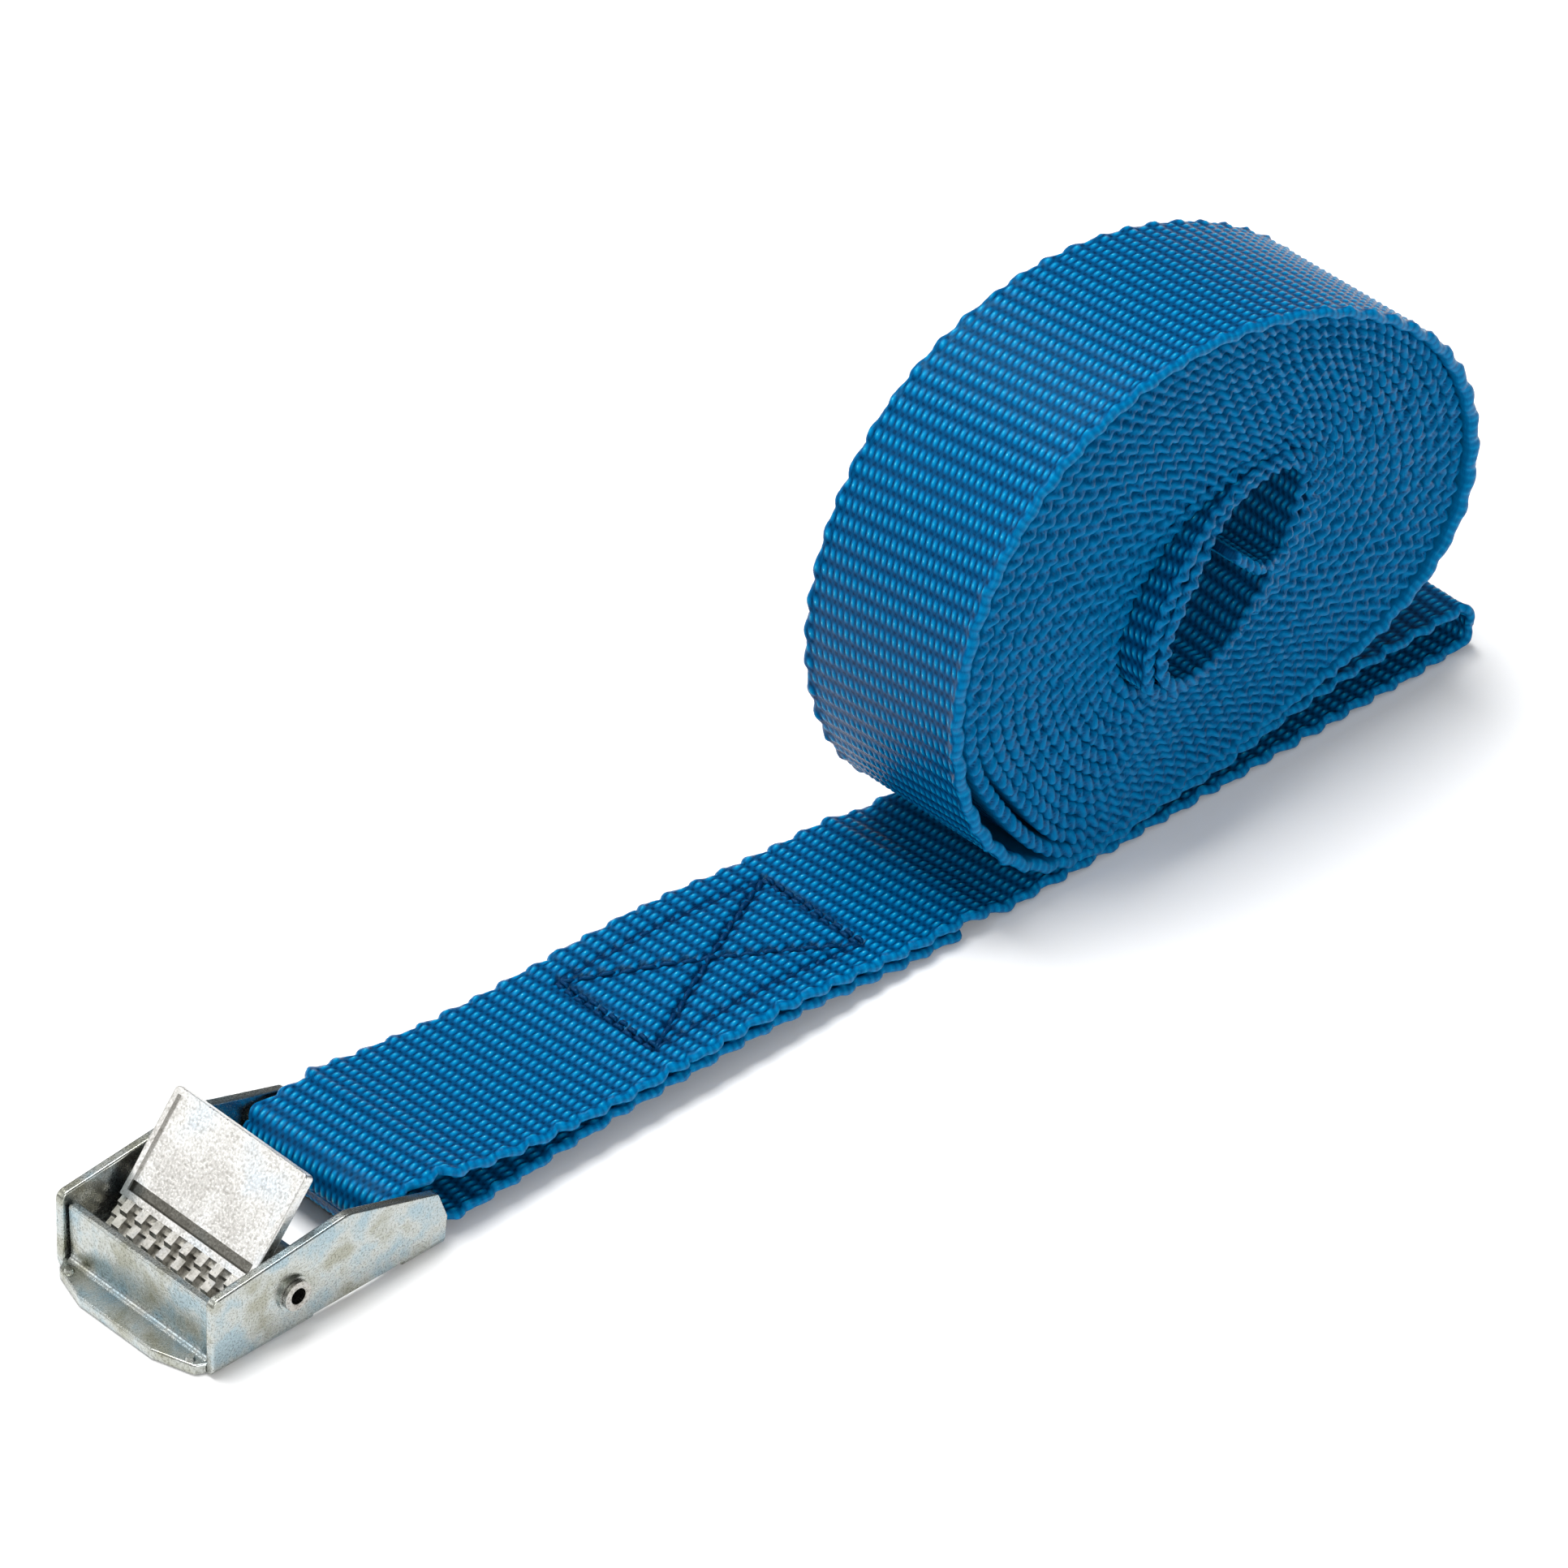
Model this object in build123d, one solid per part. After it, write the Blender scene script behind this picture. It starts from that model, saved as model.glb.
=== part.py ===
from build123d import *
import math
import os

# Cam-buckle lashing strap: a pressed steel buckle with a spring-loaded toothed cam, and a length of
# woven webbing sewn round the buckle's rear bar and rolled up on edge.
# Frame: +X runs from the buckle along the strap, +Y across it, +Z up. z = 0 is the surface that the
# strap lies on, y = 0 the middle of the webbing, x = 0 the front edge of the buckle's side walls.
# Sizes in millimetres, angles in degrees.

# ---- webbing ----
WEB_WIDTH = 25.0
WEB_THICKNESS = 1.4
LAYER_GAP = 0.12

# ---- pressed buckle frame ----
SHEET = 1.2
BUCKLE_INNER_WIDTH = 23.6
BUCKLE_LENGTH = 33.4
WALL_FRONT_HEIGHT = 9.9
WALL_PEAK_X = 19.6
WALL_PEAK_HEIGHT = 11.6
WALL_REAR_HEIGHT = 7.4
WALL_FRONT_RAKE = 0.3
WALL_CORNER_RADIUS = 1.1
BEND_RELIEF = 0.2
FRONT_WALL_SETBACK = 0.9
FRONT_WALL_HEIGHT = 8.5
FRONT_WALL_SIDE_GAP = 0.35
LEDGE_REACH = 2.7
LEDGE_CORNER_REACH = 1.1
LEDGE_STRAIGHT_WIDTH = 12.0
PIP_RADIUS = 0.8
PIP_HEIGHT = 0.4
PIP_TO_WALL = 1.8
SLOT_LENGTH = 8.6
CROSS_STRIP_LENGTH = 3.4
WINDOW_TO_BAR = 0.9
NOTCH_HEIGHT = 0.9
SHEET_EDGE_RADIUS = 0.25
FOOT_BEND_RADIUS = 0.8
BOSS_STEP = 0.65
BOSS_HEIGHT = 0.35

# ---- rear bar, which the sewn loop turns on ----
BAR_RADIUS = 2.2
BAR_CENTRE_FROM_REAR = 5.4
LOOP_CLEARANCE = 0.15
LOOP_SIDE_CLEARANCE = 0.3
LOOP_OVER_STRIP = 0.1

# ---- axle rivet ----
BARREL_OVER_BASE = 0.3
CAM_TO_FRONT_WALL = 1.1
RIVET_RADIUS = 1.5
RIVET_BORE_RADIUS = 1.0
RIVET_HEAD_STEP = 0.3
RIVET_HEAD_LENGTH = 0.5
RIVET_PROUD = 0.9
RUNNING_CLEARANCE = 0.06
RIVET_HOLE_CLEARANCE = 0.05

# ---- die-cast cam lever ----
LEVER_SIDE_CLEARANCE = 1.1
LEVER_LEAN = 50.0
LEVER_OFFSET = 4.44
LEVER_REACH = 12.2
PLATE_THICKNESS = 1.4
PLATE_CORNER_RADIUS = 0.6
RIM_WIDTH = 0.8
PANEL_DEPTH = 0.4
GROOVE_START = -0.4
GROOVE_LENGTH = 1.2
GROOVE_DEPTH = 0.7
PLATE_EDGE_RADIUS = 0.2
BARREL_RADIUS = 3.9
TOOTH_COLUMNS = 8
TOOTH_SHARE = 0.48
FACET_FALL_SHARE = 0.5
CAM_REACH = 8.2
TOOTH_GAP_DEPTH = 1.7
SPRING_SLOT_WIDTH = 4.4

# ---- torsion spring ----
SPRING_WIRE_RADIUS = 0.35
SPRING_TURNS = 4
SPRING_TURN_GAP = 0.12
SPRING_CLEARANCE = 0.3

# ---- lie of the strap ----
NARROW_LENGTH = 1.1
LOOP_MEETS_X = 62.0
LOOP_MEETS_HEIGHT = 2.5
LOOP_TAPER = 1.6
ARCH_END_X = 78.0
BOX_START_X = 68.0
BOX_LENGTH = 31.0
BOX_WIDTH = 16.1
TAIL_END_X = 111.0
TOUCHDOWN_X = 119.0
COIL_LEFT_X = 109.2
COIL_RIGHT_X = 191.6
COIL_TOP = 63.2
FOLD_END_X = 193.0
FOLD_HEIGHT = 6.6
FOLD_START_X = 168.0

# ---- stitching ----
THREAD_WIDTH = 0.7
THREAD_HEIGHT = 0.25
THREAD_LIFT = 0.05
STITCH_GAP = 0.6

inner_half = BUCKLE_INNER_WIDTH / 2
outer_half = inner_half + SHEET
web_half = WEB_WIDTH / 2
narrow_half = min(web_half, inner_half - LOOP_SIDE_CLEARANCE)
bar_x = BUCKLE_LENGTH - BAR_CENTRE_FROM_REAR
front_wall_back_x = FRONT_WALL_SETBACK + SHEET
strip_front_x = front_wall_back_x + SLOT_LENGTH
strip_back_x = strip_front_x + CROSS_STRIP_LENGTH
window_back_x = bar_x - WINDOW_TO_BAR
bend_radius = SHEET - BEND_RELIEF
pip_spacing = BUCKLE_INNER_WIDTH - 2 * PIP_TO_WALL
loop_inner = BAR_RADIUS + LOOP_CLEARANCE
loop_outer = loop_inner + WEB_THICKNESS
tail_height = SHEET + LOOP_OVER_STRIP
bar_height = tail_height + loop_outer
top_layer_height = bar_height + loop_inner
axle_x = front_wall_back_x + CAM_TO_FRONT_WALL + CAM_REACH
axle_height = SHEET + BARREL_OVER_BASE + BARREL_RADIUS
rivet_head_radius = RIVET_RADIUS + RIVET_HEAD_STEP
boss_radius = RIVET_RADIUS + BOSS_STEP
lever_half = inner_half - LEVER_SIDE_CLEARANCE
tooth_pitch = 2 * lever_half / (TOOTH_COLUMNS + 0.73)
tooth_width = tooth_pitch * TOOTH_SHARE
wide_start_x = BUCKLE_LENGTH + NARROW_LENGTH
box_end_x = BOX_START_X + BOX_LENGTH
spring_coil_radius = RIVET_RADIUS + SPRING_CLEARANCE + SPRING_WIRE_RADIUS
spring_pitch = 2 * SPRING_WIRE_RADIUS + SPRING_TURN_GAP
spring_length = spring_pitch * SPRING_TURNS


def plate_xz(outline, y_from, y_to):
    """A flat outline drawn in X and Z, given thickness from y_from to y_to."""
    plane = Plane(origin=(0, y_from, 0), x_dir=(1, 0, 0), z_dir=(0, -1, 0))
    return extrude(plane * outline, amount=-(y_to - y_from))


def outline_of(points):
    """A closed face with straight sides through the given points."""
    return make_face(Polyline(*points, close=True))


def rounded(face, corner, radius):
    """The face with the corner nearest to the given point rounded."""
    vertex = face.vertices().sort_by_distance(Vector(corner[0], corner[1], 0))[0]
    return fillet(vertex, radius)


def block(x_from, x_to, y_from, y_to, z_from, z_to):
    """A block between two opposite corners."""
    centre = ((x_from + x_to) / 2, (y_from + y_to) / 2, (z_from + z_to) / 2)
    return Pos(*centre) * Box(x_to - x_from, y_to - y_from, z_to - z_from)


def axle_cylinder(radius, y_from, y_to):
    """A cylinder round the cam's axle line."""
    turned = Rot(90, 0, 0) * Cylinder(radius, y_to - y_from)
    return Pos(axle_x, (y_from + y_to) / 2, axle_height) * turned


def bar_cylinder(radius, y_from, y_to):
    """A cylinder round the rear bar's centre line."""
    turned = Rot(90, 0, 0) * Cylinder(radius, y_to - y_from)
    return Pos(bar_x, (y_from + y_to) / 2, bar_height) * turned


def wall_outline():
    """Side wall seen from the side: raked front, peak over the lever, low rounded rear."""
    points = [
        (0, 0),
        (WALL_FRONT_RAKE, WALL_FRONT_HEIGHT),
        (WALL_PEAK_X, WALL_PEAK_HEIGHT),
        (BUCKLE_LENGTH - 1.2, WALL_REAR_HEIGHT),
        (BUCKLE_LENGTH, WALL_REAR_HEIGHT / 2),
        (BUCKLE_LENGTH - 0.5, 0),
    ]
    face = outline_of(points)
    for corner in (points[1], points[3], points[4]):
        face = rounded(face, corner, WALL_CORNER_RADIUS)
    return rounded(face, points[2], 3 * WALL_CORNER_RADIUS)


def side_wall(side):
    """One upright side of the frame, with its pierced boss for the axle and its bent foot."""
    y_inner = side * inner_half
    y_outer = side * outer_half
    wall = plate_xz(wall_outline(), min(y_inner, y_outer), max(y_inner, y_outer))
    bend_edges = wall.edges().filter_by(Axis.X).group_by(Axis.Z)[0]
    outside = [edge for edge in bend_edges if abs(edge.center().Y) > inner_half + SHEET / 2]
    wall = fillet(outside, bend_radius)
    upper = [edge for edge in wall.edges() if edge.center().Z > bend_radius + 0.5]
    rim = [edge for edge in upper if edge.bounding_box().size.Y < 0.01]
    wall = fillet(rim, SHEET_EDGE_RADIUS)
    wall -= block(strip_back_x, window_back_x, -outer_half - 1, outer_half + 1, -1, NOTCH_HEIGHT)
    y_boss = side * (outer_half + BOSS_HEIGHT)
    wall += axle_cylinder(boss_radius, min(y_outer, y_boss), max(y_outer, y_boss))
    wall -= axle_cylinder(RIVET_RADIUS + RIVET_HOLE_CLEARANCE, -outer_half - 2, outer_half + 2)
    return wall


def front_ledge():
    """Base sheet in front of the webbing slot: chamfered lip and two raised pips."""
    half_straight = LEDGE_STRAIGHT_WIDTH / 2
    corner_y = inner_half - SHEET / 2
    points = [
        (front_wall_back_x, -inner_half),
        (0, -inner_half),
        (-LEDGE_CORNER_REACH, -corner_y),
        (-LEDGE_REACH, -half_straight),
        (-LEDGE_REACH, half_straight),
        (-LEDGE_CORNER_REACH, corner_y),
        (0, inner_half),
        (front_wall_back_x, inner_half),
    ]
    face = outline_of(points)
    for corner in (points[2], points[3], points[4], points[5]):
        face = rounded(face, corner, 0.8)
    ledge = extrude(face, amount=SHEET)
    upper = ledge.edges().group_by(Axis.Z)[-1]
    lip = [edge for edge in upper if edge.center().X < -0.1]
    ledge = fillet(lip, SHEET_EDGE_RADIUS)
    pip_x = (FRONT_WALL_SETBACK - LEDGE_REACH) / 2 + 0.3
    for side in (-1, 1):
        pip = Pos(pip_x, side * pip_spacing / 2, SHEET) * Cone(PIP_RADIUS, PIP_RADIUS * 0.6, 2 * PIP_HEIGHT)
        ledge += pip
    return ledge


def front_wall():
    """Tongue of the base sheet bent upright: the cam's teeth press the webbing against it."""
    half = inner_half - FRONT_WALL_SIDE_GAP
    wall = block(FRONT_WALL_SETBACK, front_wall_back_x, -half, half, SHEET, FRONT_WALL_HEIGHT)
    top_edges = wall.edges().filter_by(Axis.Y).group_by(Axis.Z)[-1]
    wall = fillet(top_edges, SHEET / 4)
    bend_x = FRONT_WALL_SETBACK - FOOT_BEND_RADIUS
    bend_z = SHEET + FOOT_BEND_RADIUS
    bend = block(bend_x, FRONT_WALL_SETBACK, -half, half, SHEET, bend_z)
    bend -= Pos(bend_x, 0, bend_z) * Rot(90, 0, 0) * Cylinder(FOOT_BEND_RADIUS, 2 * outer_half)
    return wall + bend


def base_cross_strip():
    """Strip of base sheet between the webbing slot and the window; the spring's leg bears on it."""
    return block(strip_front_x, strip_back_x, -inner_half, inner_half, 0, SHEET)


def rear_strip():
    """Strip of base sheet under the rear bar."""
    return block(window_back_x, BUCKLE_LENGTH - 0.9, -inner_half, inner_half, 0, SHEET)


def rear_bar():
    """Round cross bar that the sewn loop turns on."""
    return bar_cylinder(BAR_RADIUS, -inner_half, inner_half)


def hollow_rivet():
    """Tubular axle with a rolled head outside each wall."""
    end_y = outer_half + RIVET_PROUD
    rivet = axle_cylinder(RIVET_RADIUS, -end_y, end_y)
    seat_y = outer_half + BOSS_HEIGHT + 0.05
    for side in (-1, 1):
        near_y = side * seat_y
        far_y = side * (seat_y + RIVET_HEAD_LENGTH)
        rivet += axle_cylinder(rivet_head_radius, min(near_y, far_y), max(near_y, far_y))
    rivet -= axle_cylinder(RIVET_BORE_RADIUS, -end_y - 1, end_y + 1)
    return rivet


def lever_point(along, depth):
    """Point in X and Z, along the lever's front face from its foot and at a depth behind it."""
    lean = math.radians(LEVER_LEAN)
    x = axle_x - LEVER_OFFSET * math.sin(lean) + along * math.cos(lean) + depth * math.sin(lean)
    z = axle_height + LEVER_OFFSET * math.cos(lean) + along * math.sin(lean) - depth * math.cos(lean)
    return (x, z)


def lever_slab(along_from, along_to, depth_from, depth_to, half_width):
    """Block square to the lever's front face."""
    corners = [
        lever_point(along_from, depth_from),
        lever_point(along_to, depth_from),
        lever_point(along_to, depth_to),
        lever_point(along_from, depth_to),
    ]
    return plate_xz(outline_of(corners), -half_width, half_width)


def along_depth(edge):
    """Whether an edge runs through the plate's thickness instead of round its outline."""
    lean = math.radians(LEVER_LEAN)
    run = edge % 0.5
    return abs(run.X * math.sin(lean) - run.Z * math.cos(lean)) > 0.9


def thumb_plate():
    """Finger plate: thin rim round a flat recessed panel, with a groove across its foot."""
    plate = lever_slab(-GROOVE_LENGTH, LEVER_REACH, 0, PLATE_THICKNESS, lever_half)
    tip_x, tip_z = lever_point(LEVER_REACH, PLATE_THICKNESS / 2)
    corner_edges = []
    for edge in plate.edges():
        centre = edge.center()
        at_tip = math.hypot(centre.X - tip_x, centre.Z - tip_z) < 0.1
        if at_tip and abs(abs(centre.Y) - lever_half) < 0.1:
            corner_edges.append(edge)
    plate = fillet(corner_edges, PLATE_CORNER_RADIUS)
    foot_x, foot_z = lever_point(-GROOVE_LENGTH, PLATE_THICKNESS / 2)
    rim = []
    for edge in plate.edges():
        centre = edge.center()
        at_foot = math.hypot(centre.X - foot_x, centre.Z - foot_z) < PLATE_THICKNESS
        if not at_foot:
            rim.append(edge)
    plate = fillet([e for e in rim if not along_depth(e)], PLATE_EDGE_RADIUS)
    panel_start = GROOVE_START + GROOVE_LENGTH
    panel_half = lever_half - RIM_WIDTH
    plate -= lever_slab(panel_start, LEVER_REACH - RIM_WIDTH, -1, PANEL_DEPTH, panel_half)
    plate -= lever_slab(GROOVE_START, panel_start, -1, GROOVE_DEPTH, panel_half)
    return plate


def cam_outline(reach, set_back):
    """Cam seen from the side: the face falls from the lever's foot to the nose in three sloping steps."""
    foot = lever_point(-GROOVE_LENGTH, set_back)
    nose = (axle_x - reach * math.cos(math.radians(15)), axle_height - reach * math.sin(math.radians(15)))
    span = (nose[0] - foot[0], nose[1] - foot[1])
    points = [foot]
    for step in range(3):
        root = step / 3
        tip = (step + 1) / 3
        facet = root + (tip - root) * FACET_FALL_SHARE
        points.append((foot[0] + span[0] * tip, foot[1] + span[1] * facet))
        points.append((foot[0] + span[0] * tip, foot[1] + span[1] * tip))
    points.append((axle_x - BARREL_RADIUS * 0.75, axle_height - BARREL_RADIUS * 0.66))
    points.append((axle_x, axle_height))
    points.append(lever_point(-GROOVE_LENGTH, PLATE_THICKNESS))
    return outline_of(points)


def cam_barrel():
    """Barrel on the axle with a smooth nose and raised tooth columns across its face."""
    barrel = axle_cylinder(BARREL_RADIUS, -lever_half, lever_half)
    barrel += plate_xz(cam_outline(CAM_REACH - TOOTH_GAP_DEPTH, TOOTH_GAP_DEPTH / 2), -lever_half, lever_half)
    first = -tooth_pitch * (TOOTH_COLUMNS - 1) / 2
    for column in range(TOOTH_COLUMNS):
        y = first + column * tooth_pitch
        barrel += plate_xz(cam_outline(CAM_REACH, 0), y - tooth_width / 2, y + tooth_width / 2)
    barrel -= lever_slab(-GROOVE_LENGTH, LEVER_REACH, -2, PLATE_THICKNESS, lever_half + 1)
    half_slot = SPRING_SLOT_WIDTH / 2
    pocket = RIVET_RADIUS + SPRING_CLEARANCE + 2 * SPRING_WIRE_RADIUS + SPRING_CLEARANCE
    barrel -= axle_cylinder(pocket, -half_slot, half_slot)
    behind = lever_slab(-20, LEVER_REACH, PLATE_THICKNESS, 20, half_slot)
    ahead = block(-20, axle_x - pocket, -half_slot, half_slot, -5, 30)
    barrel -= behind - ahead - axle_cylinder(pocket - 0.01, -half_slot, half_slot)
    barrel -= axle_cylinder(RIVET_RADIUS + RUNNING_CLEARANCE, -lever_half - 1, lever_half + 1)
    return barrel


def spring_coil():
    """Wire wound round the axle in the cam's slot."""
    path = Helix(pitch=spring_pitch, height=spring_length, radius=spring_coil_radius)
    section = Plane(origin=path @ 0, z_dir=path % 0) * Circle(SPRING_WIRE_RADIUS)
    coil = sweep(section, path=path, is_frenet=True)
    return Pos(axle_x, spring_length / 2, axle_height) * Rot(90, 0, 0) * coil


def spring_base_leg():
    """The spring's straight end, from the first turn down to the base strip."""
    foot = SHEET + 0.02
    top = axle_height - SPRING_WIRE_RADIUS / 4
    middle = Pos(axle_x + spring_coil_radius, spring_length / 2, (foot + top) / 2)
    return middle * Cylinder(SPRING_WIRE_RADIUS, top - foot)


def spring_lever_leg():
    """The spring's other leg, lying along the back of the thumb plate."""
    back_from_axle = LEVER_OFFSET - PLATE_THICKNESS - SPRING_WIRE_RADIUS
    clear_of_coil = spring_coil_radius + 2 * SPRING_WIRE_RADIUS + 0.02
    start_along = math.sqrt(max(0.1, clear_of_coil ** 2 - back_from_axle ** 2))
    start = lever_point(start_along, PLATE_THICKNESS + SPRING_WIRE_RADIUS)
    end = lever_point(7.5, PLATE_THICKNESS + SPRING_WIRE_RADIUS)
    length = math.hypot(end[0] - start[0], end[1] - start[1])
    y = SPRING_SLOT_WIDTH / 2 - 2 * SPRING_WIRE_RADIUS
    middle = Pos((start[0] + end[0]) / 2, y, (start[1] + end[1]) / 2)
    return middle * Rot(0, 90 - LEVER_LEAN, 0) * Cylinder(SPRING_WIRE_RADIUS, length)


def ease(start, end, x):
    """Falls smoothly from 1 at the start to 0 at the end."""
    along = min(max((x - start) / (end - start), 0), 1)
    return (1 + math.cos(math.pi * along)) / 2


def tail_underside(x):
    """Height of the sewn tail's underside: a low arch that comes down to the ground at its cut end."""
    rise = LOOP_MEETS_HEIGHT - tail_height
    return (tail_height + rise * (1 - ease(wide_start_x, LOOP_MEETS_X, x))) * ease(ARCH_END_X, TAIL_END_X, x)


def top_underside(x):
    """Height of the upper layer's underside: it leaves the loop, closes on the tail and passes its end."""
    lift = WEB_THICKNESS + LAYER_GAP
    along = min(max((x - wide_start_x) / (LOOP_MEETS_X - wide_start_x), 0), 1)
    opening = (top_layer_height - tail_height - lift) * (1 - along) ** LOOP_TAPER
    return tail_underside(x) + opening + lift * ease(TAIL_END_X, TOUCHDOWN_X, x)


def layer(height_at, x_from, x_to, width, low=0, high=WEB_THICKNESS):
    """Flat layer between two heights above a curve, running from x_from to x_to."""
    count = max(3, round((x_to - x_from) / 6))
    places = [x_from + (x_to - x_from) * step / count for step in range(count + 1)]
    lower = Spline(*[Vector(x, height_at(x) + low, 0) for x in places])
    upper = Spline(*[Vector(x, height_at(x) + high, 0) for x in places])
    face = make_face([lower, Line(lower @ 1, upper @ 1), upper, Line(upper @ 0, lower @ 0)])
    return plate_xz(face, -width / 2, width / 2)


def strap_loop():
    """Webbing turned round the rear bar, held narrow between the side walls."""
    loop = bar_cylinder(loop_outer, -narrow_half, narrow_half)
    loop -= block(bar_x, bar_x + 20, -narrow_half - 1, narrow_half + 1, -10, 20)
    for low in (tail_height, top_layer_height):
        loop += block(bar_x, wide_start_x, -narrow_half, narrow_half, low, low + WEB_THICKNESS)
    return loop - bar_cylinder(loop_inner, -narrow_half - 1, narrow_half + 1)


def strap_floor_run():
    """Single layer lying flat under the coil."""
    return block(TOUCHDOWN_X, FOLD_START_X, -web_half, web_half, 0, WEB_THICKNESS)


def strap_fold():
    """Where the flat run doubles back on itself beyond the coil."""
    radius = FOLD_HEIGHT / 2
    centre_x = FOLD_END_X - radius
    outer = Pos(centre_x, radius) * Circle(radius)
    outer += Pos((FOLD_START_X + centre_x) / 2, radius) * Rectangle(centre_x - FOLD_START_X, FOLD_HEIGHT)
    inner = Pos(centre_x, radius) * Circle(radius - WEB_THICKNESS)
    gap_height = FOLD_HEIGHT - 2 * WEB_THICKNESS
    inner += Pos((FOLD_START_X + centre_x) / 2 - 1, radius) * Rectangle(centre_x - FOLD_START_X + 2, gap_height)
    return plate_xz(outer - inner, -web_half, web_half)


def strap_coil():
    """Outer shape of the rolled webbing: a leaning oval standing on the flat run."""
    rest = WEB_THICKNESS + LAYER_GAP
    outline = Spline(
        (137.0, rest + 0.3),
        (COIL_LEFT_X + 9.0, 6.5),
        (COIL_LEFT_X + 1.2, 20.0),
        (COIL_LEFT_X + 1.0, 37.0),
        (COIL_LEFT_X + 12.0, 55.0),
        (COIL_LEFT_X + 37.0, COIL_TOP),
        (COIL_RIGHT_X - 16.0, 55.0),
        (COIL_RIGHT_X - 1.0, 37.0),
        (COIL_RIGHT_X - 1.5, 20.0),
        (COIL_RIGHT_X - 14.0, 9.5),
        (FOLD_START_X - 6.0, 5.4),
        (152.0, 3.2),
        periodic=True,
    )
    roll = plate_xz(make_face(outline), -web_half, web_half)
    return roll - block(COIL_LEFT_X, COIL_RIGHT_X, -WEB_WIDTH, WEB_WIDTH, -10, rest)


def thread_rows():
    """Start and end, in plan, of the sewn box's four sides and of the strokes of its cross."""
    half = BOX_WIDTH / 2
    gap = STITCH_GAP
    x0 = BOX_START_X
    x1 = box_end_x
    middle = (x0 + x1) / 2
    slope = BOX_WIDTH / BOX_LENGTH
    return {
        "side_near": ((x0 + gap, -half), (x1 - gap, -half)),
        "side_far": ((x0 + gap, half), (x1 - gap, half)),
        "end_front": ((x0, -half), (x0, half)),
        "end_rear": ((x1, -half), (x1, half)),
        "stroke_long": ((x0 + 2 * gap, 2 * gap * slope - half), (x1 - 2 * gap, half - 2 * gap * slope)),
        "stroke_front": ((x0 + 2 * gap, half - 2 * gap * slope), (middle - 2 * gap, 2 * gap * slope)),
        "stroke_rear": ((middle + 2 * gap, -2 * gap * slope), (x1 - 2 * gap, 2 * gap * slope - half)),
    }


def thread_row(start, end, skin):
    """The part of a thin skin on the webbing that lies over one straight row of stitches."""
    run_x = end[0] - start[0]
    run_y = end[1] - start[1]
    turn = math.degrees(math.atan2(run_y, run_x))
    strip = Box(math.hypot(run_x, run_y), THREAD_WIDTH, 40)
    return skin & Pos((start[0] + end[0]) / 2, (start[1] + end[1]) / 2, 0) * Rot(0, 0, turn) * strip


def stitching(face_name):
    """Rows of thread on the top face of the upper layer or on the underside of the tail."""
    x_from = BOX_START_X - 1
    x_to = box_end_x + 1
    if face_name == "top":
        low = WEB_THICKNESS + THREAD_LIFT
        skin = layer(top_underside, x_from, x_to, WEB_WIDTH, low, low + THREAD_HEIGHT)
    else:
        high = -THREAD_LIFT
        skin = layer(tail_underside, x_from, x_to, WEB_WIDTH, high - THREAD_HEIGHT, high)
    return {name: thread_row(start, end, skin) for name, (start, end) in thread_rows().items()}


nodes = {
    "side_wall_near": side_wall(-1),
    "side_wall_far": side_wall(1),
    "front_ledge": front_ledge(),
    "front_wall": front_wall(),
    "base_cross_strip": base_cross_strip(),
    "rear_strip": rear_strip(),
    "rear_bar": rear_bar(),
    "hollow_rivet": hollow_rivet(),
    "thumb_plate": thumb_plate(),
    "cam_barrel": cam_barrel(),
    "spring_coil": spring_coil(),
    "spring_base_leg": spring_base_leg(),
    "spring_lever_leg": spring_lever_leg(),
    "strap_loop": strap_loop(),
    "strap_sewn_tail": layer(tail_underside, wide_start_x, TAIL_END_X, WEB_WIDTH),
    "strap_top_layer": layer(top_underside, wide_start_x, TOUCHDOWN_X, WEB_WIDTH),
    "strap_floor_run": strap_floor_run(),
    "strap_fold": strap_fold(),
    "strap_coil": strap_coil(),
}

for face_name in ("top", "under"):
    for row_name, solid in stitching(face_name).items():
        nodes["thread_" + face_name + "_" + row_name] = solid

os.makedirs("parts", exist_ok=True)
for name, solid in nodes.items():
    export_step(solid, "parts/" + name + ".step")
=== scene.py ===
import math

import bpy
import numpy as np
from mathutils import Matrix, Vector


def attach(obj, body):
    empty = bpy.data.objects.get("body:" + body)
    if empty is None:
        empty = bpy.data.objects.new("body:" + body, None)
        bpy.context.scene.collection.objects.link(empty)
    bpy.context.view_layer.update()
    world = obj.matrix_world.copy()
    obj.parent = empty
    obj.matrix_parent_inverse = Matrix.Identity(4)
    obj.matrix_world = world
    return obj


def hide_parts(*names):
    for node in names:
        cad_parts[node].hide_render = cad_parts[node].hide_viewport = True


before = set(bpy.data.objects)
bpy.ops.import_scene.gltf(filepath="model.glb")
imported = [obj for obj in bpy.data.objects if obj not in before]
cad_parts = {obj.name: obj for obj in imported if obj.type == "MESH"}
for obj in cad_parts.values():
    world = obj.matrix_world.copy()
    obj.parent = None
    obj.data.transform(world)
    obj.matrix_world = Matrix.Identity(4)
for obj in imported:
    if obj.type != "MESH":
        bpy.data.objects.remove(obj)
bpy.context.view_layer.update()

# Cam-buckle lashing strap: woven webbing sewn round the rear bar of a pressed steel buckle, its long
# free length doubled back under itself and rolled up on edge. Lengths here are in millimetres until
# a mesh is made.
MM = 0.001

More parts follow.
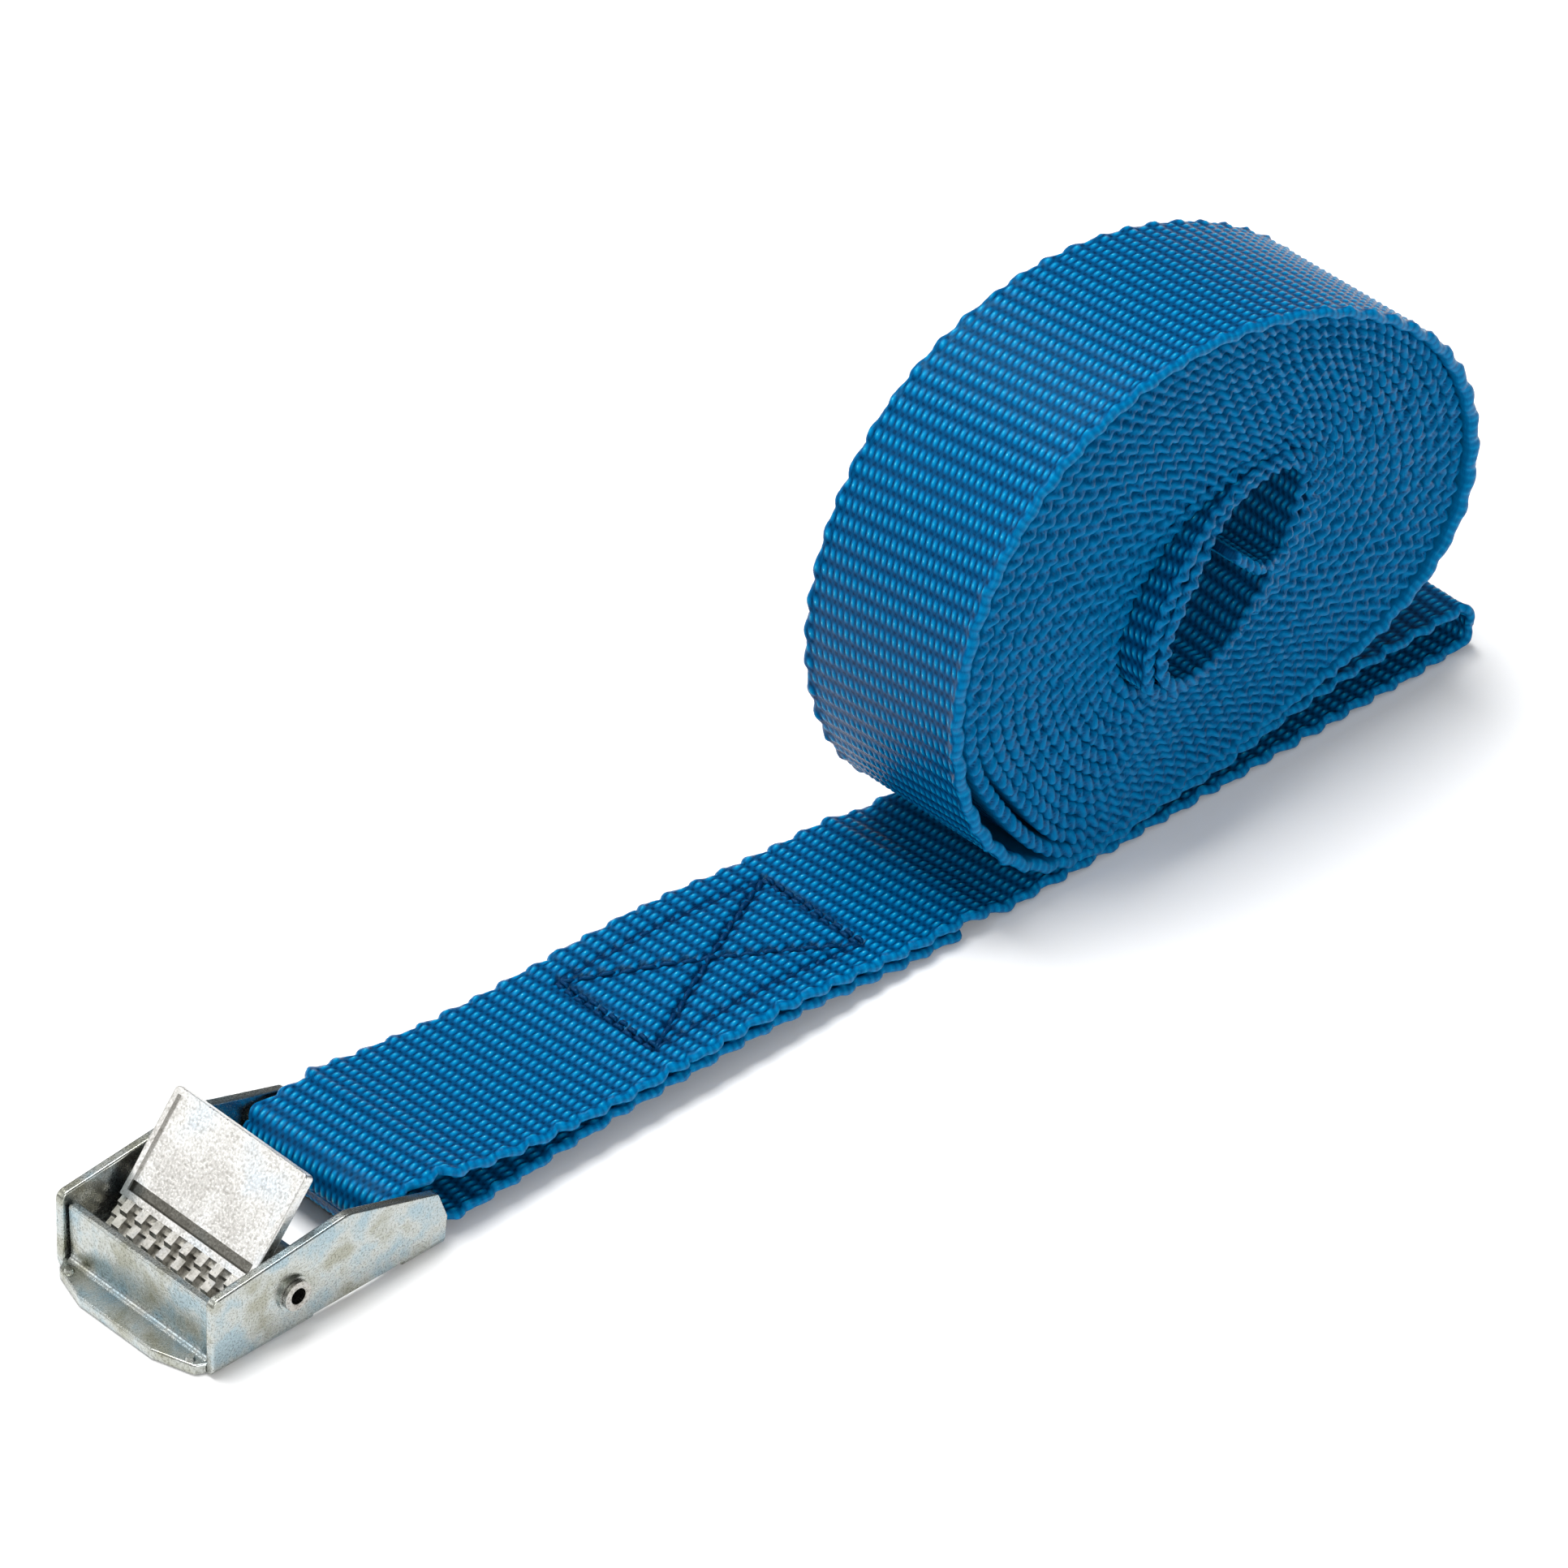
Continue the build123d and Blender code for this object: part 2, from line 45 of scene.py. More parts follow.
# ---- webbing, as cut and as it lies ----
WEB_WIDTH = 25.0
WEB_THICKNESS = 1.4
HALF_THICKNESS = WEB_THICKNESS / 2
LAYER_GAP = 0.12
BAR_X = 28.0
BAR_HEIGHT = 5.05
LOOP_RADIUS = 3.05
WALL_END_X = 33.4
WIDE_START_X = 34.5
NARROW_HALF = 11.5
WIDENS_FROM_X = WALL_END_X - 0.2
WIDENS_TO_X = WALL_END_X + 2.4
LOOP_MEETS_X = 62.0
LOOP_MEETS_HEIGHT = 2.5
LOOP_TAPER = 1.6
ARCH_END_X = 78.0
TAIL_END_X = 111.0
TOUCHDOWN_X = 119.0
FLOOR_RUN_FROM_X = TOUCHDOWN_X + 1
FOLD_HEIGHT = 6.6
FOLD_END_X = 193.0
FOLD_START_X = 168.0
FOLD_BACK_TO_X = FOLD_START_X + 3
tail_height = BAR_HEIGHT - LOOP_RADIUS - HALF_THICKNESS
top_layer_height = BAR_HEIGHT + LOOP_RADIUS - HALF_THICKNESS

# ---- sewn box ----
BOX_START_X = 68.0
BOX_END_X = 99.0
BOX_WIDTH = 16.1
STITCH_WIDTH = 0.62
STITCH_FILL = 0.96
STITCH_PITCH = 2.3
END_STITCH_PITCH = 1.55
END_LANES = (-0.38, 0.38)
SUNK_AT_ENDS = 0.3
SUNK_IN_STROKES = 0.42
SUNK_AT_SIDES = 0.55
STITCH_WANDER = 0.1
STITCH_SKEW = 0.12
STITCH_DIVE = 0.55
STITCH_TIP = 0.02
PLY_RELIEF = 0.14
PLY_TWIST = 2.6
PULL_DEPTH = 0.42
PULL_WIDTH = 0.6
PULL_PAST_END = 0.3
PULL_SHADE = 0.45
SIDE_TENSION = 0.55
CAD_ROWS = {"stroke_a": ["stroke_long"], "stroke_b": ["stroke_front", "stroke_rear"]}

# ---- roll: distances, and angles in degrees round its centre ----
ROLL_CENTRE = (150.5, 32.5)
ROLL_TURNS = 15.73
ROLL_START_ANGLE = -71.0
OUTLINE_INSET = 0.15
EYE_TILT = 30.0
EYE_HALF_LENGTH = 14.2
EYE_HALF_WIDTH = 6.8
LOOSE_END = ((11.2, 2.2), (8.0, -1.6), (2.9, -0.6), (-2.7, 4.4))
LOOSE_END_TURNS = 0.5
CUT_BACK = 0.2
CORE_TURNS = 2.4
CORE_EASED_BY = 1.2
CORE_PUSHED_OUT = 4.6
CORE_PUSHED_SIDE = -158.0
CORE_LEAST_SHARE = 0.12
FULLER_ANGLE = 100.0
FULLER_SPREAD = 75.0
FULLER_BY = 0.85
LIP_ANGLE = -149.0
LIP_SPREAD = 24.0
LIP_GAPS = (1.9, 1.1)
OUTER_TURN_OUT = 0.9
OUTER_TURN_SIDE = 10.0
TURN_WANDER = 0.22
TURN_WANDER_RATE = 2.9
EDGE_UNEVENNESS = 0.2
EDGE_UNEVEN_LENGTH = 1.1
USUAL_PITCH = 1.3

# ---- weave ----
YARN_PITCH = 0.945
ROW_PITCH = 2.05
ROW_SLANT = 0.4
ROW_SKEW = 0.08
LOW_FLOAT = 0.22
# Powers below 1 make a float fuller, and above 1 slimmer.
FLOAT_ACROSS_POWER = 0.85
FLOAT_ALONG_POWER = 1.1
LOW_FLOAT_POWER = 1.2
BODY_HALF_THICKNESS = 0.47
YARN_RELIEF = 0.26
FEWEST_WOVEN_COLUMNS = 60
PLAIN_HEIGHT = 0.45

# ---- selvedge: open on the flat lengths and the outermost turn, packed where turn lies on turn ----
PICK_PITCH = 1.75
SCALLOP_PITCH = 2 * ROW_PITCH
SCALLOP_SHARPNESS = 0.5
SCALLOP_WAVER = 0.5
SCALLOP_WAVER_LENGTH = 6.0
SCALLOP_DEPTH = 0.75
PACKED_SCALLOP_DEPTH = 0.28
PICK_SHARPNESS = 0.8
PICK_DEPTH = 0.1
PACKED_PICK_DEPTH = 0.34
EDGE_ROUNDING = 0.6
EDGE_WAVE = 0.2
PACKED_WAVE_SHARE = 0.85
PACKED_WAVER_LENGTH = 9.0
EDGE_SLANT = 0.9
# Distances in from the webbing's edge, where a change starts and where it is complete.
THICKENS_WITHIN = (1.9, 0.2)
FLOATS_FADE_WITHIN = (0.9, 0.15)
RIBBED_WITHIN = (0.9, 0.2)
# Turns lie a pitch apart, and the selvedge spreads to fill most of it.
EDGE_HALF_SHARE = 0.43
EDGE_HALF_LIMITS = (0.56, 0.82)
PACKED_FROM_TURN = 0.95
PACKED_IN_TURNS = 0.25
# How light the selvedge is painted, from 0 to 1 on the ramp of painted shade and highlight: packed, its
# drop in each rib, open, and its rise on each bar.
PACKED_CREST = 0.58
RIB_DROP = 0.56
OPEN_CREST = 0.34
BAR_RISE = 0.36

# ---- meshes ----
WOVEN_COLUMNS = 104
FLOOR_RUN_COLUMNS = 100
OUTER_TURN_INSIDE_COLUMNS = 12
CORE_INSIDE_COLUMNS = 26
PACKED_COLUMNS = 6
EDGE_STEPS = 6
LINE_STEP = 0.1
TURN_STEP = 1 / 360
BEND_SMOOTHING = 15
NORMAL_SMOOTHING = 9
PITCH_SMOOTHING = 81
ROW_STEP = 0.29
OUTER_TURN_STEP = 0.34
OUTSIDE_STEP = 0.27
INSIDE_STEP = 0.25
FLOOR_RUN_SPLIT = 12.0
OUTER_TURN_ENDS = 1.15
OUTSIDE_ENDS = 7.0
EYE_TURNS = 1.0


def ease(start, end, x):
    """Falls smoothly from 1 at the start to 0 at the end."""
    along = np.clip((x - start) / (end - start), 0, 1)
    return (1 + np.cos(np.pi * along)) / 2


def tail_underside(x):
    """Height of the sewn tail's underside: a low arch that comes down to the ground at its cut end."""
    rise = LOOP_MEETS_HEIGHT - tail_height
    arch = tail_height + rise * (1 - ease(WIDE_START_X, LOOP_MEETS_X, x))
    return arch * ease(ARCH_END_X, TAIL_END_X, x)


def top_underside(x):
    """Height of the upper layer's underside: it leaves the loop, closes on the tail and passes its end."""
    lift = WEB_THICKNESS + LAYER_GAP
    along = np.clip((x - WIDE_START_X) / (LOOP_MEETS_X - WIDE_START_X), 0, 1)
    opening = (top_layer_height - tail_height - lift) * (1 - along) ** LOOP_TAPER
    return tail_underside(x) + opening + lift * ease(TAIL_END_X, TOUCHDOWN_X, x)


def roll_outline():
    """The CAD roll's outline as radius against angle round its centre."""
    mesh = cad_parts["strap_coil"].data
    points = np.array([v.co for v in mesh.vertices]) / MM
    rim = points[points[:, 1] < -WEB_WIDTH / 2 + 0.1]
    dx = rim[:, 0] - ROLL_CENTRE[0]
    dz = rim[:, 2] - ROLL_CENTRE[1]
    angle = np.arctan2(dz, dx)
    order = np.argsort(angle)
    return angle[order], np.hypot(dx, dz)[order]


def arc(centre, radius, angle_from, angle_to, count):
    """Points on a circular bend."""
    angles = np.radians(np.linspace(angle_from, angle_to, count))
    return np.column_stack([centre[0] + radius * np.cos(angles), centre[1] + radius * np.sin(angles)])


def through(points):
    """A smooth line from the second point on through all the rest; the first only sets its direction."""
    points = [np.asarray(p, float) for p in points]
    points.append(2 * points[-1] - points[-2])
    line = []
    share = np.linspace(0, 1, 30, endpoint=False)[:, None]
    for before, start, end, after in zip(points, points[1:], points[2:], points[3:]):
        bend = 2 * before - 5 * start + 4 * end - after
        twist = 3 * (start - end) + after - before
        line.append(start + share * ((end - before) / 2 + share * (bend + share * twist) / 2))
    return np.vstack(line + [points[-2][None, :]])


def sewn_end_line():
    """Middle of the webbing from its sewn cut end back to the bar, round it and out along the top."""
    tail_x = np.linspace(TAIL_END_X, WIDE_START_X, 400)
    tail = np.column_stack([tail_x, tail_underside(tail_x) + HALF_THICKNESS])
    bend = arc((BAR_X, BAR_HEIGHT), LOOP_RADIUS, -90, -270, 60)
    top_x = np.linspace(WIDE_START_X, TOUCHDOWN_X, 400)
    top = np.column_stack([top_x, top_underside(top_x) + HALF_THICKNESS])
    return np.vstack([tail, bend, top])


def floor_run_line():
    """Middle of the flat run under the roll, its fold and the way back to the roll's underside."""
    radius = FOLD_HEIGHT / 2
    bend = arc((FOLD_END_X - radius, radius), radius - HALF_THICKNESS, -90, 90, 40)
    first = (FLOOR_RUN_FROM_X, HALF_THICKNESS)
    last = (FOLD_BACK_TO_X, FOLD_HEIGHT - HALF_THICKNESS)
    return np.vstack([[first], bend, [last]])


def degrees_off(angle, side):
    """How far an angle in radians is from a side of the roll, in degrees, whichever way is shorter."""
    off = angle - math.radians(side)
    return np.abs(np.degrees(np.arctan2(np.sin(off), np.cos(off))))


def eye_radius(angle):
    """The slim eye's outline: an ellipse about the roll's centre."""
    from_tilt = angle - math.radians(EYE_TILT)
    return EYE_HALF_LENGTH * EYE_HALF_WIDTH / np.hypot(
        EYE_HALF_WIDTH * np.cos(from_tilt), EYE_HALF_LENGTH * np.sin(from_tilt)
    )


def roll_line():
    """Middle of the rolled length: turns from the CAD outline inwards to a slim eye."""
    known_angle, known_radius = roll_outline()
    turns = np.arange(0, ROLL_TURNS, TURN_STEP)
    angle = math.radians(ROLL_START_ANGLE) - 2 * np.pi * turns
    wrapped = np.arctan2(np.sin(angle), np.cos(angle))
    outer = np.interp(wrapped, known_angle, known_radius, period=2 * np.pi) - OUTLINE_INSET
    outer = outer + FULLER_BY * ease(0, FULLER_SPREAD, degrees_off(wrapped, FULLER_ANGLE))
    eye = eye_radius(angle)
    inwards = np.clip(turns / ROLL_TURNS, 0, 1)
    # The first two turns hang slack at the lower left, so gaps open behind them there.
    slack = LIP_GAPS[0] * (1 - ease(0.5, 1.0, turns)) + LIP_GAPS[1] * (1 - ease(1.5, 2.0, turns))
    slack = slack * ease(0, LIP_SPREAD, degrees_off(wrapped, LIP_ANGLE))
    outer = outer - slack * (1 - inwards) ** 0.5
    radius = outer + (eye - outer) * inwards
    x = ROLL_CENTRE[0] + radius * np.cos(angle)
    z = ROLL_CENTRE[1] + radius * np.sin(angle)
    pitch = (outer - eye) / ROLL_TURNS
    wound = np.column_stack([x, z])
    # The loose end leaves the last turn smoothly: a point a little way back gives its direction.
    end = through([wound[-12], wound[-1]] + [np.add(ROLL_CENTRE, step) for step in LOOSE_END])
    line = np.vstack([wound, end])
    beyond = np.linspace(ROLL_TURNS, ROLL_TURNS + LOOSE_END_TURNS, len(end))
    return line, np.concatenate([turns, beyond]), np.concatenate([pitch, np.full(len(end), USUAL_PITCH)])


def smoothed(values, width):
    """Running mean that keeps the ends."""
    kernel = np.ones(width) / width
    padded = np.concatenate([np.full(width, values[0]), values, np.full(width, values[-1])])
    return np.convolve(padded, kernel, "same")[width:-width]


class Lay:
    """The whole webbing's middle line, measured along its length from the sewn cut end."""

    def __init__(self):
        sewn = sewn_end_line()
        run = floor_run_line()
        roll, turns, pitch = roll_line()
        line = np.vstack([sewn, run, roll])
        steps = np.hypot(*np.diff(line, axis=0).T)
        keep = np.concatenate([[True], steps > 1e-6])
        line = line[keep]
        before = len(sewn) + len(run)
        marks = np.concatenate([np.full(before, -1.0), turns])[keep]
        pitches = np.concatenate([np.full(before, USUAL_PITCH), pitch])[keep]
        length = np.concatenate([[0], np.cumsum(np.hypot(*np.diff(line, axis=0).T))])
        self.v = np.arange(0, length[-1], LINE_STEP)
        self.x = smoothed(np.interp(self.v, length, line[:, 0]), BEND_SMOOTHING)
        self.z = smoothed(np.interp(self.v, length, line[:, 1]), BEND_SMOOTHING)
        self.turns = np.interp(self.v, length, marks)
        self.pitch = smoothed(np.interp(self.v, length, pitches), PITCH_SMOOTHING)
        self.total = length[-1]
        self.sewn_length = length[len(sewn) - 1]
        self.roll_start = self.v[np.argmax(self.turns >= 0)]
        dx = np.gradient(self.x, self.v)
        dz = np.gradient(self.z, self.v)
        size = np.hypot(dx, dz)
        self.nx = smoothed(-dz / size, NORMAL_SMOOTHING)
        self.nz = smoothed(dx / size, NORMAL_SMOOTHING)

    def at(self, v):
        """Middle, outward normal, half width, sideways shift, turn and edge's half thickness at distances."""
        x = np.interp(v, self.v, self.x)
        z = np.interp(v, self.v, self.z)
        nx = np.interp(v, self.v, self.nx)
        nz = np.interp(v, self.v, self.nz)
        turns = np.interp(v, self.v, self.turns)
        widening = ease(WIDENS_FROM_X, WIDENS_TO_X, x)
        half = WEB_WIDTH / 2 - (WEB_WIDTH / 2 - NARROW_HALF) * widening
        edge_half = np.clip(EDGE_HALF_SHARE * np.interp(v, self.v, self.pitch), *EDGE_HALF_LIMITS)
        return x, z, nx, nz, half, sideways(v, turns), turns, edge_half

    def length_at_bar(self):
        """Distance along the webbing where it is furthest round the bar."""
        return float(self.v[np.argmin(self.x)])

    def length_at_turn(self, turn):
        """Distance along the webbing where that turn of the roll starts."""
        return float(self.v[np.argmax(self.turns >= turn)])


def near_edge(u, half, within):
    """Rises from 0 to 1 across a band along both edges of the webbing."""
    return 1 - ease(half - within[0], half - within[1], np.abs(u))


def uneven(v, scale):
    """A lively but repeatable waver along the webbing, between about -1 and 1."""
    slow = np.sin(v * 2.3 / scale + 1.3 * np.sin(v * 0.37))
    quick = np.sin(v * 3.7 / scale + 2.1 * np.sin(v * 0.23))
    return (slow + quick) / 2


def sideways(v, turns):
    """How far the wound webbing stands out of the roll's faces; minus is towards the near side."""
    climb = np.radians(ROLL_START_ANGLE - 360 * turns)
    wander = TURN_WANDER * np.sin(turns * TURN_WANDER_RATE) * (turns > 0) * ease(0.0, 0.5, turns)
    # The outermost turn stands out where it climbs, and comes back in a quarter turn into the next.
    rise = np.clip(np.cos(climb - math.radians(OUTER_TURN_SIDE)), 0, 1)
    wander = wander - OUTER_TURN_OUT * rise * (turns > 0) * ease(1.0, 1.25, turns)
    wander = wander + EDGE_UNEVENNESS * uneven(v, EDGE_UNEVEN_LENGTH) * (turns > 0.9)
    # The core is pushed out towards the near side, most of all on its left.
    core = 1 - ease(ROLL_TURNS - CORE_TURNS, ROLL_TURNS - CORE_EASED_BY, turns)
    leftness = (0.5 + 0.5 * np.cos(climb - math.radians(CORE_PUSHED_SIDE))) ** 1.6
    share = CORE_LEAST_SHARE + (1 - CORE_LEAST_SHARE) * leftness
    return -CORE_PUSHED_OUT * core * share + wander


def yarn_height(u, v):
    """Relief of the weave: long floats in slanting rows, with lower ones showing between them."""
    row = (v + ROW_SKEW * u) / ROW_PITCH
    column = u / YARN_PITCH - ROW_SLANT * row
    across = 0.5 + 0.5 * np.cos(2 * np.pi * column)
    along = 0.5 + 0.5 * np.cos(2 * np.pi * row)
    floats = across**FLOAT_ACROSS_POWER * along**FLOAT_ALONG_POWER
    between = (1 - across) ** LOW_FLOAT_POWER * (1 - along) ** LOW_FLOAT_POWER
    return floats + LOW_FLOAT * between


def stitch_rows():
    """Start and end, in plan, of the sewn box's rows."""
    half = BOX_WIDTH / 2
    near_front = (BOX_START_X, -half)
    far_front = (BOX_START_X, half)
    near_rear = (BOX_END_X, -half)
    far_rear = (BOX_END_X, half)
    return {
        "side_near": (near_front, near_rear),
        "side_far": (far_front, far_rear),
        "end_front": (near_front, far_front),
        "end_rear": (near_rear, far_rear),
        "stroke_a": (near_front, far_rear),
        "stroke_b": (far_front, near_rear),
    }


def stitch_pull(x, y):
    """How strongly the nearest row of stitches pulls the webbing in, from 0 to 1."""
    pull = np.zeros(np.broadcast(x, y).shape)
    for row_name, (start, end) in stitch_rows().items():
        tension = SIDE_TENSION if row_name.startswith("side") else 1.0
        run = np.array(end) - np.array(start)
        size = np.hypot(*run)
        along = ((x - start[0]) * run[0] + (y - start[1]) * run[1]) / size
        off = np.abs((x - start[0]) * run[1] - (y - start[1]) * run[0]) / size
        inside = (along > -PULL_PAST_END) & (along < size + PULL_PAST_END)
        pull = np.maximum(pull, tension * np.exp(-((off / PULL_WIDTH) ** 2)) * inside)
    return pull


def strip_section(outer_columns, inner_columns):
    """Once round the webbing's section: place across, rise to the outer face, reach round the edge."""
    swing = np.pi * (np.arange(1, EDGE_STEPS) / EDGE_STEPS)
    across = [np.linspace(-1, 1, outer_columns + 1), np.ones(EDGE_STEPS - 1)]
    across += [np.linspace(1, -1, inner_columns + 1), -np.ones(EDGE_STEPS - 1)]
    rise = [np.ones(outer_columns + 1), np.cos(swing), -np.ones(inner_columns + 1), -np.cos(swing)]
    reach = [np.zeros(outer_columns + 1), np.sin(swing), np.zeros(inner_columns + 1), np.sin(swing)]
    return (np.concatenate(part)[None, :] for part in (across, rise, reach))


def tube_faces(rows, ring):
    """Quads along a closed strip of rings, and a face over each of its ends."""
    first = np.arange(rows - 1)[:, None] * ring
    this = np.arange(ring)[None, :]
    following = (this + 1) % ring
    corners = [first + this, first + following, first + ring + following, first + ring + this]
    faces = np.stack(corners, axis=-1).reshape(-1, 4).tolist()
    faces.append(list(range(ring))[::-1])
    faces.append(list(range((rows - 1) * ring, rows * ring)))
    return faces


def woven_strip(name, lay, v_from, v_to, step, columns, nodes):
    """One stretch of the webbing as a closed woven strip riding on the strap body."""
    outer_columns, inner_columns = columns
    rows = max(2, int(round((v_to - v_from) / step)) + 1)
    v = np.linspace(v_from, v_to, rows)[:, None]
    x, z, nx, nz, half, shift, turns, edge_half = (part[:, None] for part in lay.at(v[:, 0]))
    across, rise, reach = strip_section(outer_columns, inner_columns)
    side = np.sign(across)
    u = across * (half - EDGE_ROUNDING) + side * reach * EDGE_ROUNDING

    # The body's floats fade out towards a smoother, thicker selvedge.
    edge = near_edge(u, half, THICKENS_WITHIN)
    fade = 1 - near_edge(u, half, FLOATS_FADE_WITHIN)
    body = BODY_HALF_THICKNESS + (edge_half - BODY_HALF_THICKNESS) * edge
    on_outer = rise > 0
    height = yarn_height(u, v + np.where(on_outer, 0, ROW_PITCH / 2))
    hidden = np.where(on_outer, outer_columns, inner_columns) < FEWEST_WOVEN_COLUMNS
    height = np.where(hidden, PLAIN_HEIGHT, height)
    n = rise * (body + YARN_RELIEF * height * fade)

    # The selvedge is scalloped by the pull of the weft, and ribbed by each pick that turns there.
    on_roll = np.clip(turns + 0.3, 0, 1)
    packed = np.clip((turns - PACKED_FROM_TURN) / PACKED_IN_TURNS, 0, 1)
    waver = SCALLOP_WAVER * uneven(v, SCALLOP_WAVER_LENGTH)
    scallop = 1 - np.abs(np.sin(np.pi * v / SCALLOP_PITCH + waver)) ** SCALLOP_SHARPNESS
    pick = 1 - np.abs(np.sin(np.pi * (v + EDGE_SLANT * n) / PICK_PITCH)) ** PICK_SHARPNESS
    depth = SCALLOP_DEPTH + (PACKED_SCALLOP_DEPTH - SCALLOP_DEPTH) * on_roll
    pick_depth = PICK_DEPTH + (PACKED_PICK_DEPTH - PICK_DEPTH) * packed
    open_wave = np.sin(2 * np.pi * v / SCALLOP_PITCH)
    packed_wave = PACKED_WAVE_SHARE * np.sin(2 * np.pi * v / PICK_PITCH + uneven(v, PACKED_WAVER_LENGTH))
    outermost = near_edge(u, half, RIBBED_WITHIN)
    u = u - side * (depth * scallop * edge + pick_depth * pick * outermost)
    n = n + EDGE_WAVE * (open_wave * (1 - packed) + packed_wave * packed) * edge

    sewn = (v < lay.sewn_length) & on_outer
    pull = np.where(sewn, stitch_pull(x, u), 0)
    n = n - PULL_DEPTH * pull
    y = u + shift
    points = np.stack([x + n * nx, y + np.zeros_like(x), z + n * nz], axis=-1)
    mesh = bpy.data.meshes.new(name)
    mesh.from_pydata((points.reshape(-1, 3) * MM).tolist(), [], tube_faces(rows, across.shape[1]))

    # The crest says how high a point of yarn stands. The webbing's colour turns it into painted shade where
    # it is low and painted highlights where it is high, and the stitches' pull into painted shade.
    bars = 0.5 + 0.5 * np.cos(4 * np.pi * v / ROW_PITCH)
    edge_crest = packed * (PACKED_CREST - RIB_DROP * pick) + (1 - packed) * (OPEN_CREST + BAR_RISE * bars)
    crest = np.clip(height * fade + edge_crest * (1 - fade) - PULL_SHADE * pull, 0, 1)
    layer = mesh.attributes.new("crest", "FLOAT", "POINT")
    layer.data.foreach_set("value", crest.reshape(-1).astype(np.float32))
    laid_flat = np.stack([u + 0 * v, v + 0 * u], axis=-1).reshape(-1, 2)
    loops = np.empty(len(mesh.loops), dtype=np.int32)
    mesh.loops.foreach_get("vertex_index", loops)
    flat = mesh.uv_layers.new(name="laid_flat")
    flat.data.foreach_set("uv", laid_flat[loops].reshape(-1).astype(np.float32))
    mesh.polygons.foreach_set("use_smooth", np.ones(len(mesh.polygons), dtype=bool))
    mesh.materials.append(webbing)
    mesh.update()
    piece = bpy.data.objects.new(name, mesh)
    bpy.context.collection.objects.link(piece)
    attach(piece, "strap")
    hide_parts(*nodes)


def linear(hex_colour):
    """An sRGB hex colour as linear RGBA."""
    channels = [int(hex_colour[i : i + 2], 16) / 255 for i in (1, 3, 5)]
    return tuple(c / 12.92 if c <= 0.04045 else ((c + 0.055) / 1.055) ** 2.4 for c in channels) + (1.0,)


def add(tree, kind, settings=(), links=(), steps=()):
    """Adds a node, sets its properties and sockets, links others into it and fills its colour ramp."""
    node = tree.nodes.new(kind)
    for key, value in dict(settings).items():
        if isinstance(key, str) and hasattr(node, key):
            setattr(node, key, value)
        else:
            node.inputs[key].default_value = value
    for key, source in dict(links).items():
        tree.links.new(source, node.inputs[key])
    if steps:
        elements = node.color_ramp.elements
        while len(elements) < len(steps):
            elements.new(0.5)
        for element, (place, colour) in zip(elements, steps):
            element.position = place
            element.color = linear(colour)
    return node


def new_material(name):
    """A material with its node tree and its shader."""
    material = bpy.data.materials.new(name)
    material.use_nodes = True
    tree = material.node_tree
    return material, tree, tree.nodes["Principled BSDF"]


def polypropylene_webbing():
    """Solution-dyed polypropylene yarn, woven: strong blue, painted shade between the yarns, painted
    highlights on float tips.
    """
    # The yarn's shine is painted: the ramp's last three steps are painted highlights, because the floats
    # are too small for soft lamps to pick out, and a full plastic gloss would turn the webbing grey at a
    # low angle. Its first step is painted shade, deep between the yarns.
    shades = [(0.0, "#001C3C"), (0.3, "#004F80"), (0.62, "#006CA0")]
    painted_highlights = [(0.82, "#0A80AC"), (0.93, "#36A0C0"), (1.0, "#7CC8DC")]
    # Filaments are about 0.03 mm thick. That is too fine to show, so they are drawn as streaks 0.11 mm
    # wide and 0.6 mm long. The map is the webbing laid flat, in millimetres.
    streaks_per_mm = (9.0, 1.6, 1.0)
    material, tree, shader = new_material("polypropylene_webbing")
    crest = add(tree, "ShaderNodeAttribute", {"attribute_name": "crest"})
    flat = add(tree, "ShaderNodeUVMap", {"uv_map": "laid_flat"})
    stretch = add(tree, "ShaderNodeMapping", {"Scale": streaks_per_mm}, {"Vector": flat.outputs["UV"]})
    laid = {"Vector": stretch.outputs["Vector"]}
    streak = add(tree, "ShaderNodeTexNoise", {"Scale": 1.0, "Detail": 3.0}, laid).outputs["Fac"]
    spread = add(tree, "ShaderNodeMath", {"operation": "MULTIPLY_ADD", 1: 0.3, 2: -0.15}, {0: streak})
    both = {0: crest.outputs["Fac"], 1: spread.outputs["Value"]}
    level = add(tree, "ShaderNodeMath", {"operation": "ADD"}, both)
    # The ramp gives the yarn its blue, with painted shade at low crests and painted highlights at high ones.
    yarn_colour_with_painted_light = add(tree, "ShaderNodeValToRGB", links={"Fac": level.outputs["Value"]}, steps=shades + painted_highlights)
    tree.links.new(yarn_colour_with_painted_light.outputs["Color"], shader.inputs["Base Color"])
    bump = add(tree, "ShaderNodeBump", {"Strength": 0.35, "Distance": 0.12 * MM}, {"Height": streak})
    tree.links.new(bump.outputs["Normal"], shader.inputs["Normal"])
    shader.inputs["Roughness"].default_value = 0.24
    shader.inputs["Specular IOR Level"].default_value = 0.12
    shader.inputs["Specular Tint"].default_value = linear("#74C8E4")
    return material


def bonded_sewing_thread():
    """Bonded polyester thread: a shade darker than the webbing, with the low shine of its coating."""
    material, _, shader = new_material("bonded_sewing_thread")
    shader.inputs["Base Color"].default_value = linear("#00284E")
    shader.inputs["Specular Tint"].default_value = linear("#3F8FC0")
    shader.inputs["Roughness"].default_value = 0.42
    return material


